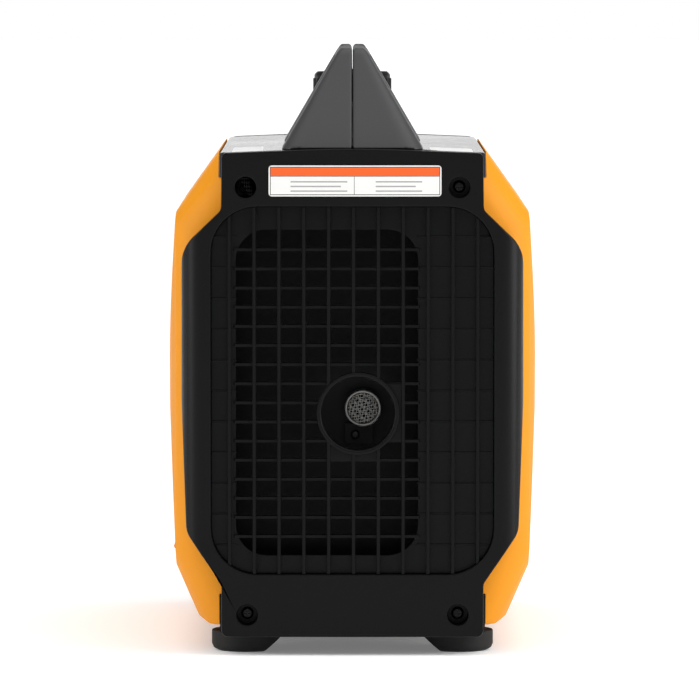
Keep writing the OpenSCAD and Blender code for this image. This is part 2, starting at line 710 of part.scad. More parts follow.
module flywheel_fan() color([0.5, 0.5, 0.52]) at_crank() difference() {
    union() {
        rod_y(shaft_r + 4, hub_y[0], hub_y[1]);
        rod_y(68, stator_y[1] + 6, stator_y[1] + 11);
        for (i = [0:fan_blades - 1]) rotate([0, i * 360 / fan_blades, 0]) translate([34, 0, 0])
            rotate([0, 30, 0]) span([0, stator_y[1] + 10, -1.2], [34, stator_y[1] + 30, 1.2]);
    }
    rod_y(shaft_r, hub_y[0] - 1, hub_y[1] + 1);
}

// ---- recoil starter ----

reel_y = [112, 126];
housing_y = [hub_y[1] + crank_y + 3, 134];

module at_axis() translate([0, 0, crank_z]) children();

module recoil_housing() color([0.2, 0.2, 0.21]) at_axis() difference() {
    union() {
        rod_y(78, housing_y[0], housing_y[1]);
        for (a = [45:90:315]) rotate([0, a, 0]) translate([80, 0, 0])
            rod_y(7, housing_y[0], housing_y[0] + 6);
    }
    rod_y(74, housing_y[0] - 1, housing_y[1] - 3);
    difference() {
        rod_y(70, housing_y[1] - 4, housing_y[1] + 1);
        rod_y(52, housing_y[1] - 5, housing_y[1] + 2);
        for (a = [0:30:330]) rotate([0, a, 0]) span([48, housing_y[1] - 5, -4], [72, housing_y[1] + 2, 4]);
    }
    rod_y(6, housing_y[1] - 4, housing_y[1] + 1);
    translate([0, rope_y, reel_r]) rod_x(4, 55, 90);
    for (a = [45:90:315]) rotate([0, a, 0]) translate([81, 0, 0]) rod_y(2.6, 0, far);
}

module recoil_reel() color([0.85, 0.85, 0.8]) at_axis() difference() {
    union() {
        rod_y(52, reel_y[0], reel_y[0] + 2.5);
        rod_y(reel_r - rope_r - 0.1, reel_y[0], reel_y[1]);
        rod_y(52, reel_y[1] - 2.5, reel_y[1]);
        rod_y(5.9, reel_y[1] - 1, housing_y[1]);
    }
    rod_y(34, reel_y[0] - 1, reel_y[1] - 4);
    for (a = [0:60:300]) rotate([0, a, 0]) translate([38, 0, 0]) rod_y(3, reel_y[0] - 1, reel_y[1] + 1);
}

spring_turns = 5;
spring_steps = 100;
function coil_point(i, extra) =
    let (part = i / spring_steps, a = 360 * spring_turns * part) (12 + 19 * part + extra) * [cos(a), sin(a)];

module recoil_spring() color("silver") at_axis() slab_y(reel_y[0] + 1, reel_y[1] - 4.2) polygon(concat(
    [for (i = [0:spring_steps]) coil_point(i, 0)], [for (i = [spring_steps:-1:0]) coil_point(i, 0.7)]));

rope_r = 1.9;
grip_x = [pocket_x + 4, half_w - 4.5];

module recoil_rope() color([0.12, 0.12, 0.12]) at_axis() {
    for (y = [rope_y, rope_y - 2 * rope_r - 0.1]) translate([0, y, 0]) rotate([90, 0, 0]) rotate_extrude()
        translate([reel_r, 0]) circle(r = rope_r, $fn = 16);
    translate([0, rope_y, reel_r]) rod_x(rope_r, reel_r / 2, grip_x[0] + 11);
}

module recoil_grip() color([0.13, 0.13, 0.14]) translate([0, grip_at.x, grip_at.y]) difference() {
    union() {
        intersection() {
            slab_x(grip_x[0] + 6, grip_x[1]) polygon(plate_outline([-40, -11], [40, 11], 10, 8));
            slab_z(-20, 20) polygon(rounded([[grip_x[0] + 6, -30, 8], [grip_x[1], -41, 7], [grip_x[1], 41, 7],
                [grip_x[0] + 6, 30, 8]]));
        }
        rod_x(8, grip_x[0], grip_x[0] + 8);
    }
    rod_x(rope_r + 0.1, grip_x[0] - 1, grip_x[0] + 12);
}

// ---- exhaust ----

tip_at = [8.2, 191];
box_lo = [-66, -170, 128];
box_hi = [80, -84, 284];
mesh_y = -184;
bracket_at = [tip_at.x - 6, tip_at.y - 21];   // the arrester's screw: x and z

module muffler() color([0.45, 0.43, 0.41]) difference() {
    union() {
        slab_y(box_lo.y, box_hi.y) polygon(plate_outline([box_lo.x, box_lo.z], [box_hi.x, box_hi.z], 30, 8));
        translate([tip_at.x, 0, tip_at.y]) rod_y(11.6, mesh_y + 5, box_lo.y + 2);
        translate([port_x, 0, crank_z + port_z]) rod_y(13, box_hi.y - 1, crank_y - 58.2);
        translate([bracket_at.x, 0, bracket_at.y]) rod_y(4, mesh_y + 6.5, box_lo.y + 2);
    }
    slab_y(box_lo.y + 1.5, box_hi.y - 1.5)
        polygon(plate_outline([box_lo.x + 1.5, box_lo.z + 1.5], [box_hi.x - 1.5, box_hi.z - 1.5], 28.5, 8));
    translate([tip_at.x, 0, tip_at.y]) rod_y(10, mesh_y - 1, box_lo.y + 3);
    translate([bracket_at.x, 0, bracket_at.y]) rod_y(1.6, mesh_y, box_lo.y + 1);
}

// Box over the muffler, with a plate behind the grille that closes off the engine's side
module muffler_shield() color([0.2, 0.2, 0.2]) difference() {
    union() {
        slab_y(box_lo.y - 4, box_hi.y)
            polygon(plate_outline([box_lo.x - 6, box_lo.z - 6], [box_hi.x + 6, box_hi.z + 6], 34, 8));
        slab_y(box_lo.y - 4, box_lo.y - 2.8) polygon(plate_outline([-104, 64], [104, 344], 20));
    }
    slab_y(box_lo.y - 2.8, box_hi.y + 1)
        polygon(plate_outline([box_lo.x - 4.8, box_lo.z - 4.8], [box_hi.x + 4.8, box_hi.z + 4.8], 32.8, 8));
    translate([tip_at.x, 0, tip_at.y]) rod_y(13, box_lo.y - 5, box_lo.y);
    translate([bracket_at.x, 0, bracket_at.y]) rod_y(5, box_lo.y - 5, box_lo.y);
}

// Cup with the wire mesh, clipped on the outlet pipe and held by one screw
module spark_arrester() color([0.72, 0.72, 0.7]) translate([tip_at.x, 0, tip_at.y]) difference() {
    union() {
        rod_y(tip_r, mesh_y - 2, mesh_y + 8);
        span([-14, mesh_y + 5, -28], [8, mesh_y + 6.4, -8]);
    }
    rod_y(12, mesh_y - 3, mesh_y - 0.6);
    rod_y(11.7, mesh_y + 1, mesh_y + 9);
    translate([-6, 0, -21]) rod_y(2.1, mesh_y, mesh_y + 9);
}

module arrester_screw() color("silver") translate([bracket_at.x, mesh_y + 5, bracket_at.y]) rotate([90, 0, 0])
    cross_screw(1.5, 3.4, 7);

// ---- electrics and the control panel ----

fins = 15;

module inverter_module() color([0.55, 0.56, 0.57]) {
    span([-92, 146, 50], [92, 172, 182]);
    for (i = [0:fins - 1]) translate([-90 + 180 * i / (fins - 1), 0, 0]) span([-1, 172, 54], [1, 188, 178]);
}

dial_at = [58, 316];
dial_r = 23;
rocker_at = [76, 244];
breaker_at = [-80, 232];
outlet_at = [-8, 262];
ports_at = [-66, 306];
lamps_x = [36, 54, 72];
lamps_z = 276;
ground_at = [76, 196];
jacks_at = [[28, 198], [-2, 198]];
ports_size = [52, 44];

module control_panel() color([0.16, 0.16, 0.17]) difference() {
    slab_y(panel_y - 3, panel_y) polygon(inset(panel_outline, 0.2));
    translate([dial_at.x, 0, dial_at.y]) rod_y(5.3, 0, far);
    translate([breaker_at.x, 0, breaker_at.y]) rod_y(5.4, 0, far);
    slab_y(0, far) translate(rocker_at) polygon(plate_outline([-7.5, -11.5], [7.5, 11.5], 1));
    slab_y(0, far) translate(outlet_at) polygon(plate_outline([-18, -52], [18, 52], 4));
    slab_y(0, far) translate(ports_at) polygon(plate_outline(-ports_size / 2, ports_size / 2, 3));
    for (x = lamps_x) translate([x, 0, lamps_z]) rod_y(3.1, 0, far);
    translate([ground_at.x, 0, ground_at.y]) rod_y(3.1, 0, far);
    for (p = jacks_at) translate([p.x, 0, p.y]) rod_y(6.1, 0, far);
}

// One mains socket face: two flat blades and a half-round earth
module socket_holes() {
    span([-7.5, panel_y - 12, 2], [-5.8, far, 10]);
    span([5.8, panel_y - 12, 2], [7.5, far, 11]);
    translate([0, 0, -6]) rod_y(2.6, panel_y - 12, far);
}

module ac_outlets() color([0.1, 0.1, 0.1]) translate([outlet_at.x, 0, outlet_at.y]) difference() {
    union() {
        slab_y(panel_y - 16, panel_y) polygon(plate_outline([-17.8, -51.8], [17.8, 51.8], 3.8));
        for (z = [-24, 24]) translate([0, 0, z]) slab_y(panel_y - 1, panel_y + 2)
            polygon(plate_outline([-15, -18], [15, 18], 9));
    }
    for (z = [-24, 24]) translate([0, 0, z]) socket_holes();
}

module dc_usb_ports() color([0.1, 0.1, 0.1]) translate([ports_at.x, 0, ports_at.y]) difference() {
    slab_y(panel_y - 20, panel_y + 0.5)
        polygon(plate_outline(-ports_size / 2 + [0.2, 0.2], ports_size / 2 - [0.2, 0.2], 2.8));
    translate([-10, 0, 0]) difference() {
        rod_y(11, panel_y - 17, half_l);
        rod_y(3, panel_y - 18, panel_y - 15);
    }
    for (z = [-8, 8]) span([8, panel_y - 12, z - 3], [21, half_l, z + 3]);
}

flap_hinge = [panel_y + 3.2, ports_at.y + ports_size.y / 2 + 4];

module port_cover() color([0.12, 0.12, 0.13]) translate([ports_at.x, 0, 0]) difference() {
    union() {
        span([-27, panel_y + 1, ports_at.y - 24], [27, panel_y + 3.4, flap_hinge.y]);
        translate([0, flap_hinge.x, flap_hinge.y]) rod_x(2.2, -27, 27);
        span([-8, panel_y + 1, ports_at.y - 27], [8, panel_y + 4.4, ports_at.y - 23]);
    }
    translate([0, flap_hinge.x, flap_hinge.y]) rod_x(1.05, -28, 28);
    for (s = [-1, 1]) translate([s * 20, 0, 0]) span([-3.3, 0, flap_hinge.y - 3.2], [3.3, far, far]);
}

module engine_dial() color([0.15, 0.15, 0.16]) translate([dial_at.x, 0, dial_at.y]) difference() {
    union() {
        rod_y(dial_r, panel_y + 0.3, panel_y + 4);
        slab_y(panel_y + 3, half_l) polygon(rounded([[-6, -20, 4], [6, -20, 4], [4, 20, 3], [-4, 20, 3]]));
        rod_y(5, panel_y - 8, panel_y + 1);
    }
    span([-0.8, half_l - 0.8, 6], [0.8, half_l + 1, 18]);
}

rocker_tilt = 9;

module eco_switch() color([0.1, 0.1, 0.1]) translate([rocker_at.x, panel_y, rocker_at.y])
    rotate([-rocker_tilt, 0, 0]) slab_x(-6.8, 6.8)
        polygon([[-5, -7.5], [0.4, -9.8], [2.6, -9.4], [1.4, 0], [2.6, 9.4], [0.4, 9.8], [-5, 7.5]]);

module breaker_button() color([0.8, 0.15, 0.1]) translate([breaker_at.x, 0, breaker_at.y]) {
    rod_y(5, panel_y - 9, panel_y + 4.5);
    rod_y(6.4, panel_y - 9, panel_y - 6.5);
}

// Earth stud with its nut, two parallel-link jacks, three lamps and the flap's hinge lugs
module panel_terminals() {
    color("gold") translate([ground_at.x, 0, ground_at.y]) {
        rod_y(3, panel_y - 8, panel_y + 11);
        translate([0, panel_y, 0]) rotate([-90, 0, 0]) cylinder(r = 6.2, h = 3, $fn = 6);
        translate([0, panel_y - 6, 0]) rotate([-90, 0, 0]) cylinder(r = 6.2, h = 3, $fn = 6);
    }
    color("crimson") for (p = jacks_at) translate([p.x, 0, p.y]) difference() {
        union() {
            rod_y(6, panel_y - 18, panel_y + 1);
            rod_y(8.5, panel_y, panel_y + 5);
        }
        rod_y(2.1, panel_y - 14, panel_y + 6);
    }
    color("lime") for (x = lamps_x) translate([x, 0, lamps_z]) {
        rod_y(3, panel_y - 8, panel_y + 1.2);
        rod_y(4, panel_y - 6, panel_y - 3);
    }
    color([0.16, 0.16, 0.17]) translate([ports_at.x, 0, 0]) {
        for (s = [-1, 1]) translate([s * 20, 0, 0])
            span([-3, panel_y, flap_hinge.y - 2], [3, flap_hinge.x + 2, flap_hinge.y + 2]);
        translate([0, flap_hinge.x, flap_hinge.y]) rod_x(1, -26, 26);
    }
}

rear_cover();
rear_grille();
exhaust_collar();
rear_cover_screws();
rear_label();
front_cover();
front_cover_screws();
left_side_cover();
right_side_cover();
side_cover_screws();
service_door();
service_door_latch();
door_hinge_pins();
top_cover();
base_pan();
rubber_feet();
handle_left();
handle_right();
handle_screws();
fuel_tank();
fuel_strainer();
fuel_cap_gasket();
fuel_cap();
fuel_cap_vent();
crankcase();
crank_bearings();
crankshaft();
crankpin();
connecting_rod();
piston();
engine_cylinder();
cylinder_head();
spark_plug();
spark_plug_boot();
carburetor();
air_cleaner();
air_cleaner_element();
oil_filler_cap();
engine_mounts();
alternator_stator();
alternator_rotor();
flywheel_fan();
recoil_housing();
recoil_reel();
recoil_spring();
recoil_rope();
recoil_grip();
muffler();
muffler_shield();
spark_arrester();
arrester_screw();
inverter_module();
control_panel();
ac_outlets();
dc_usb_ports();
port_cover();
engine_dial();
eco_switch();
breaker_button();
panel_terminals();
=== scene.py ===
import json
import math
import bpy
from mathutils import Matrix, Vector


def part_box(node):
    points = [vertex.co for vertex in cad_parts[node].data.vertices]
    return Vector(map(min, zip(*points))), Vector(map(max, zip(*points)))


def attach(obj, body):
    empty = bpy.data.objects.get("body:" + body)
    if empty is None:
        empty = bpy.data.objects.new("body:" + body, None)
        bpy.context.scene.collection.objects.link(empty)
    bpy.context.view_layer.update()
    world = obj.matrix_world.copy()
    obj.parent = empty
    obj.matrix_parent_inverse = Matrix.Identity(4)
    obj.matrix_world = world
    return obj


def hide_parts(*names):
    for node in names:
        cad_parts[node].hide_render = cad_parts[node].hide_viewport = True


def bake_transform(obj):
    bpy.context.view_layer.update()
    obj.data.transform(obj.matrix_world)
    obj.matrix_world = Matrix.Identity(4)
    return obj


bl_info = {
    "name": "Suitcase Generator",
    "version": (1, 0, 0),
    "blender": (4, 5, 0),
    "location": "View3D > Sidebar > Generator",
    "description": "Builds the finished look of a suitcase generator round its CAD frame",
    "category": "Object",
}

import bpy
from bpy.props import FloatProperty, FloatVectorProperty, IntProperty, PointerProperty
from bpy.types import Operator, Panel, PropertyGroup

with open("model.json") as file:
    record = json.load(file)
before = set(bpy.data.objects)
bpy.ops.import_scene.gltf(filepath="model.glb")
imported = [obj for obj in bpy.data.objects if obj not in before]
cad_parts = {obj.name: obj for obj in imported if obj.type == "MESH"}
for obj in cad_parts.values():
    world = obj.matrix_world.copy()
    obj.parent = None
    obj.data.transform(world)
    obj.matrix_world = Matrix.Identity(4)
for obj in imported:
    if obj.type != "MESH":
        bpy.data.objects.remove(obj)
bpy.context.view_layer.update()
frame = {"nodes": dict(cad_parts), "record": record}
NODES = frame["nodes"]
RECORD = frame["record"]
MM = 0.001
SLOT_OF = {row["node"]: row["material_slot"] for row in RECORD["subparts"]}
BODY_OF = {
    node: body for body, nodes in RECORD["behaviour"]["bodies"].items() for node in nodes
}


# ---- settings ----


class GeneratorSizes(PropertyGroup):
    """Sizes that only the finished look has"""

    cover_edge: FloatProperty(
        name="Cover edge", description="Radius on the edges of the black end covers",
        default=1.0 * MM, unit="LENGTH")
    rib_edge: FloatProperty(
        name="Rib edge", description="Radius on the edges of the grille's ribs",
        default=0.5 * MM, unit="LENGTH")
    side_edge: FloatProperty(
        name="Side edge", description="Radius on the edges of the orange side covers",
        default=0.8 * MM, unit="LENGTH")
    small_edge: FloatProperty(
        name="Small edge", description="Radius on the edges of knobs, sockets and small mouldings",
        default=0.4 * MM, unit="LENGTH")
    wire_radius: FloatProperty(
        name="Wire radius", description="Radius of the arrester screen's wires",
        default=0.24 * MM, unit="LENGTH")
    wire_count: IntProperty(
        name="Wires", description="Wires each way in the arrester's screen",
        default=13, min=5, max=41)


class GeneratorColours(PropertyGroup):
    """Colours of the finishes"""

    orange: FloatVectorProperty(
        name="Orange", description="Side covers", subtype="COLOR", default=(0.72, 0.265, 0.005))
    black: FloatVectorProperty(
        name="Black", description="End covers and grille", subtype="COLOR",
        default=(0.0034, 0.0034, 0.0036))
    grey: FloatVectorProperty(
        name="Grey", description="Deck and handle", subtype="COLOR", default=(0.030, 0.030, 0.032))
    label_band: FloatVectorProperty(
        name="Label band", description="Band along the top of the rear label", subtype="COLOR",
        default=(0.88, 0.12, 0.012))


def sizes():
    """The scene's sizes"""
    return bpy.context.scene.generator_sizes


def colours():
    """The scene's colours"""
    return bpy.context.scene.generator_colours


# ---- finishes ----


class Value:
    """A number or colour inside a finish; arithmetic on it adds Math nodes"""

    def __init__(self, finish, socket):
        self.finish = finish
        self.socket = socket

    def _math(self, operation, *terms):
        return self.finish.node("ShaderNodeMath", {"operation": operation}, *terms)

    def __add__(self, other):
        return self._math("ADD", self, other)

    def __rsub__(self, other):
        return self._math("SUBTRACT", other, self)

    def __mul__(self, other):
        return self._math("MULTIPLY", self, other)

    def __gt__(self, other):
        return self._math("GREATER_THAN", self, other)

    def __lt__(self, other):
        return self._math("LESS_THAN", self, other)

    __radd__ = __add__
    __rmul__ = __mul__


class Finish:
    """One finish: a Principled shader whose varying inputs come from nodes"""

    def __init__(self, name, **constants):
        self.material = bpy.data.materials.new(name)
        self.material.use_nodes = True
        self.tree = self.material.node_tree
        self.shader = self.tree.nodes["Principled BSDF"]
        for socket, value in constants.items():
            self.set(socket.replace("_", " "), value)
        self.place = self.node("ShaderNodeTexCoord", out="Object")

    def node(self, kind, settings=None, *values, out=0, at=None, **named):
        """Add a node, set it up, fill its sockets by order, number or name, and give one output"""
        new = self.tree.nodes.new(kind)
        for key, value in (settings or {}).items():
            setattr(new, key, value)
        sockets = dict(enumerate(values))
        sockets.update(at or {})
        sockets.update({key.replace("_", " "): value for key, value in named.items()})
        for key, value in sockets.items():
            self._fill(new.inputs[key], value)
        return Value(self, new.outputs[out])

    def _fill(self, socket, value):
        """Link a value to a socket, or set the socket to a number, vector or colour"""
        if isinstance(value, Value):
            self.tree.links.new(value.socket, socket)
        elif socket.type == "RGBA" and len(value) == 3:
            socket.default_value = (*value, 1.0)
        else:
            socket.default_value = value

    def set(self, socket, value):
        """Set one input of the shader"""
        self._fill(self.shader.inputs[socket], value)

    def noise(self, scale, detail=2.0, roughness=0.5, place=None):
        """Cloudy pattern, fine where the scale is high"""
        return self.node("ShaderNodeTexNoise", None, Vector=place or self.place, Scale=scale,
                         Detail=detail, Roughness=roughness)

    def cells(self, scale):
        """Pebbled pattern of rounded cells"""
        return self.node("ShaderNodeTexVoronoi", None, Vector=self.place, Scale=scale)

    def axis(self, name):
        """Distance along one of the object's axes, in metres"""
        return self.node("ShaderNodeSeparateXYZ", None, self.place, out=name)

    def mix(self, factor, first, second):
        """Blend two colours by a factor"""
        return self.node("ShaderNodeMix", {"data_type": "RGBA"}, factor, out=2,
                         at={6: first, 7: second})

    def bump(self, height, depth):
        """Raise the surface by a height"""
        self.set("Normal", self.node("ShaderNodeBump", None, Strength=1.0, Distance=depth,
                                     Height=height))


def shade(colour, factor):
    """A colour made lighter or darker"""
    return tuple(min(1.0, c * factor) for c in colour)


GLOSS_SPREAD = 0.08     # how far a moulding's roughness wanders to each side


def shades(finish):
    """Slow and fine shade changes of a moulding"""
    return finish.noise(7.0, 3.0), finish.noise(160.0, 4.0, 0.6)


def moulded(name, colour, roughness, grain=900.0, depth=0.05 * MM, spread=0.08, **constants):
    """Moulded plastic: fine spark grain, slow shade changes and uneven gloss"""
    finish = Finish(name, **constants)
    slow, fine = shades(finish)
    finish.set("Base Color", finish.mix(slow * 0.7 + fine * 0.3, shade(colour, 1 - spread),
                                        shade(colour, 1 + spread)))
    finish.set("Roughness", (slow + fine) * GLOSS_SPREAD + (roughness - GLOSS_SPREAD))
    finish.bump(finish.noise(grain, 2.0, 0.6) * 0.6 + finish.cells(grain * 0.8) * 0.4, depth)
    return finish.material


def metal(name, colour, roughness, brushed=0.0, stain=None, **constants):
    """Metal: fine pits or brush lines, with uneven gloss and an optional stain"""
    finish = Finish(name, Metallic=1.0, **constants)
    place = finish.place
    if brushed:
        place = finish.node("ShaderNodeMapping", None, Vector=finish.place,
                            Scale=(1.0, brushed, brushed))
    grain = finish.noise(240.0, 3.0, 0.6, place)
    patch = finish.noise(28.0, 4.0, 0.6)
    finish.set("Base Color", finish.mix(patch, shade(colour, 0.82), stain or shade(colour, 1.1)))
    finish.set("Roughness", grain * 0.16 + patch * 0.14 + (roughness - 0.15))
    finish.bump(grain * 0.7 + patch * 0.3, 0.08 * MM)
    return finish.material


# The deck's plain stickers: left and right edge, near and far edge, in millimetres
STICKERS = ((-94, -70, -196, -92), (61, 94, -196, -118))
DECK_EDGE = 389 * MM    # the deck's flat top is above this
PAPER = (0.78, 0.78, 0.77)


def deck_gloss(grey):
    """Glossy moulding with two plain pale stickers by the exhaust end"""
    finish = Finish("deck_gloss")
    x, y, z = finish.axis("X"), finish.axis("Y"), finish.axis("Z")
    slow, fine = shades(finish)
    stickers = 0.0
    for left, right, near, far in STICKERS:
        stickers = (x > left * MM) * (x < right * MM) * (y > near * MM) * (y < far * MM) + stickers
    stickers = stickers * (z > DECK_EDGE)
    base = finish.mix(slow * 0.7 + fine * 0.3, shade(grey, 0.92), shade(grey, 1.08))
    finish.set("Base Color", finish.mix(stickers, base, PAPER))
    finish.set("Roughness", (slow + fine) * GLOSS_SPREAD + stickers * 0.12 + 0.16)
    finish.bump(finish.noise(1200.0, 2.0, 0.6), 0.01 * MM)
    return finish.material


LAMPS_FROM, LAMPS_TO = 268 * MM, 284 * MM   # the lamps' row, upwards
SOCKETS_TOP, SOCKETS_SIDE = 215 * MM, 45 * MM
LUGS_FROM = 300 * MM                        # the flap's lugs are above this
BRASS_DARK, BRASS_LIGHT = (0.50, 0.34, 0.12), (0.66, 0.46, 0.17)


def terminals():
    """Brass stud, green lamps, red sockets and the flap's black lugs"""
    finish = Finish("terminals")
    x, z = finish.axis("X"), finish.axis("Z")
    lamps = (z > LAMPS_FROM) * (z < LAMPS_TO)
    sockets = (z < SOCKETS_TOP) * (x < SOCKETS_SIDE)
    lugs = z > LUGS_FROM
    patch = finish.noise(28.0, 4.0, 0.6)
    colour = finish.mix(patch, BRASS_DARK, BRASS_LIGHT)
    colour = finish.mix(lamps, colour, (0.06, 0.42, 0.10))
    colour = finish.mix(sockets, colour, (0.45, 0.02, 0.02))
    finish.set("Base Color", finish.mix(lugs, colour, (0.006, 0.006, 0.006)))
    finish.set("Metallic", 1 - (lamps + sockets + lugs))
    finish.set("Roughness", patch * 0.12 + 0.24)
    finish.bump(finish.noise(240.0, 3.0, 0.6), 0.03 * MM)
    return finish.material


def make_finishes():
    """Every finish by name; most names are slots in the record"""
    chosen = colours()
    orange, black, grey = tuple(chosen.orange), tuple(chosen.black), tuple(chosen.grey)
    return {
        "black_moulding": moulded("black_moulding", black, 0.38, Specular_IOR_Level=0.13),
        "orange_moulding": moulded("orange_moulding", orange, 0.5, depth=0.02 * MM, spread=0.03,
                                   Specular_IOR_Level=0.2),
        "grey_moulding": moulded("grey_moulding", grey, 0.5, grain=700.0, depth=0.06 * MM),
        "deck_gloss": deck_gloss(grey),
        "rubber": moulded("rubber", (0.010, 0.010, 0.010), 0.7, grain=500.0, depth=0.1 * MM,
                          Specular_IOR_Level=0.3),
        "tank_plastic": moulded("tank_plastic", (0.55, 0.55, 0.52), 0.4, depth=0.03 * MM),
        "reel_plastic": moulded("reel_plastic", (0.55, 0.53, 0.47), 0.4),
        "yellow_plastic": moulded("yellow_plastic", (0.80, 0.50, 0.02), 0.35, spread=0.04),
        "red_plastic": moulded("red_plastic", (0.55, 0.025, 0.02), 0.3, spread=0.04),
        "porcelain": moulded("porcelain", (0.80, 0.80, 0.78), 0.12, grain=300.0, depth=0.005 * MM,
                             spread=0.02, Coat_Weight=0.5),
        "foam": moulded("foam", (0.035, 0.035, 0.035), 0.9, grain=420.0, depth=0.8 * MM),
        "rope": moulded("rope", (0.02, 0.02, 0.02), 0.8, depth=0.2 * MM),
        "black_steel": moulded("black_steel", (0.003, 0.003, 0.003), 0.6, grain=350.0,
                               depth=0.08 * MM, Specular_IOR_Level=0.2),
        "screw_steel": metal("screw_steel", (0.03, 0.03, 0.031), 0.42),
        "cast_alloy": metal("cast_alloy", (0.46, 0.47, 0.48), 0.52),
        "machined_steel": metal("machined_steel", (0.52, 0.52, 0.53), 0.28, brushed=14.0),
        "heat_steel": metal("heat_steel", (0.10, 0.09, 0.08), 0.5, stain=(0.09, 0.06, 0.035)),
        "wire_mesh": metal("wire_mesh", (0.58, 0.58, 0.56), 0.36),
        "arrester_rim": metal("arrester_rim", (0.26, 0.26, 0.255), 0.5),
        "copper_winding": metal("copper_winding", (0.50, 0.22, 0.09), 0.35),
        "terminals": terminals(),
    }


FINISHES = {}


def finish(name):
    """A finish by name, made with all the others the first time one is asked for"""
    if not FINISHES:
        FINISHES.update(make_finishes())
    return FINISHES[name]


# ---- modelling by hand ----


SAME_POINT = 0.004 * MM     # corners closer than this are one corner
WHOLE_FACE = 0.4            # faces that turn less than this many degrees are one face


def pick_none():
    """Deselect everything"""
    bpy.ops.object.select_all(action="DESELECT")


def pick(obj):
    """Select just this object and make it active"""
    pick_none()
    obj.select_set(True)
    bpy.context.view_layer.objects.active = obj


def start_edit(obj, everything=True):
    """Open an object's mesh for editing, with all or none of it selected"""
    pick(obj)
    bpy.ops.object.mode_set(mode="EDIT")
    bpy.ops.mesh.select_all(action="SELECT" if everything else "DESELECT")


def end_edit():
    """Go back from editing to whole objects"""
    bpy.ops.object.mode_set(mode="OBJECT")


def choose_edges(obj, test):
    """Select the edges that pass a test, and nothing else"""
    mesh = obj.data
    for group in (mesh.vertices, mesh.edges, mesh.polygons):
        group.foreach_set("select", [False] * len(group))
    for edge in mesh.edges:
        edge.select = bool(test(edge))


def add_modifier(obj, kind, **settings):
    """Add a modifier, set it and apply it"""
    pick(obj)
    modifier = obj.modifiers.new(kind.title(), kind)
    for key, value in settings.items():
        setattr(modifier, key, value)
    bpy.ops.object.modifier_apply(modifier=modifier.name)


def sharp_edges(obj, angle):
    """Numbers of the edges sharper than an angle"""
    start_edit(obj, everything=False)
    bpy.ops.mesh.select_mode(type="EDGE")
    bpy.ops.mesh.edges_select_sharp(sharpness=math.radians(angle))
    end_edit()
    return {edge.index for edge in obj.data.edges if edge.select}


def is_inside(point, low, high):
    """Whether a point lies between two corners of a box"""
    return all(a < c < b for a, c, b in zip(low, point, high))


def bevel_chosen(obj, test, width, segments, **settings):
    """Bevel the edges that pass a test"""
    start_edit(obj)
    bpy.ops.mesh.select_mode(type="EDGE")
    end_edit()
    choose_edges(obj, test)
    bpy.ops.object.mode_set(mode="EDIT")
    bpy.ops.mesh.bevel(offset=width, segments=segments, affect="EDGES", **settings)
    bpy.ops.mesh.select_mode(type="VERT")
    end_edit()


def round_edges(obj, width, angle=32.0, segments=2, smooth=38.0, spare=None):
    """Round every edge sharper than an angle, except inside a spared box, and shade the faces"""
    if spare:
        sharp = sharp_edges(obj, angle)
        corners = obj.data.vertices

        def is_rounded(edge):
            return edge.index in sharp and not any(
                is_inside(corners[v].co, *spare) for v in edge.vertices)

        bevel_chosen(obj, is_rounded, width, segments, miter_outer="ARC")
    else:
        add_modifier(obj, "BEVEL", width=width, segments=segments, limit_method="ANGLE",
                     angle_limit=math.radians(angle), use_clamp_overlap=False,
                     miter_outer="MITER_ARC", loop_slide=True)
    start_edit(obj)
    bpy.ops.mesh.dissolve_degenerate(threshold=SAME_POINT / 2)
    end_edit()
    pick(obj)
    bpy.ops.object.shade_smooth_by_angle(angle=math.radians(smooth))
    add_modifier(obj, "WEIGHTED_NORMAL", weight=60, keep_sharp=True)


def soften(obj, grid, rounds):
    """Remake a solid on a fine grid and smooth it, which rounds all its edges"""
    add_modifier(obj, "REMESH", mode="VOXEL", voxel_size=grid, use_smooth_shade=True)
    add_modifier(obj, "SMOOTH", factor=0.5, iterations=rounds)
    pick(obj)
    bpy.ops.object.shade_smooth()


def copy_node(node, name, flat=WHOLE_FACE, merge=SAME_POINT):
    """A copy of a CAD node's mesh, merged, with its flat faces whole"""
    obj = bpy.data.objects.new(name, NODES[node].data.copy())
    bpy.context.scene.collection.objects.link(obj)
    start_edit(obj)
    bpy.ops.mesh.customdata_custom_splitnormals_clear()
    bpy.ops.mesh.remove_doubles(threshold=merge)
    bpy.ops.mesh.dissolve_limited(angle_limit=math.radians(flat))
    end_edit()
    return obj


def settle(obj):
    """Put a finished object's place, turn and size into its mesh"""
    pick(obj)
    bpy.ops.object.transform_apply(location=True, rotation=True, scale=True)


def fit(obj, slot, body, *nodes, look=None):
    """Give a piece its finish and hang it on its body in place of its CAD nodes"""
    obj.data.materials.clear()
    obj.data.materials.append(finish(look or slot))
    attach(obj, body)
    if nodes:
        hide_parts(*nodes)
    return obj


def refine(node, name, width, look=None, segments=2, flat=WHOLE_FACE, merge=SAME_POINT,
           **rounding):
    """A CAD node made again with rounded edges, in its own finish and on its own body"""
    obj = copy_node(node, name, flat, merge)
    round_edges(obj, width, segments=segments, **rounding)
    return fit(obj, SLOT_OF[node], BODY_OF[node], node, look=look)


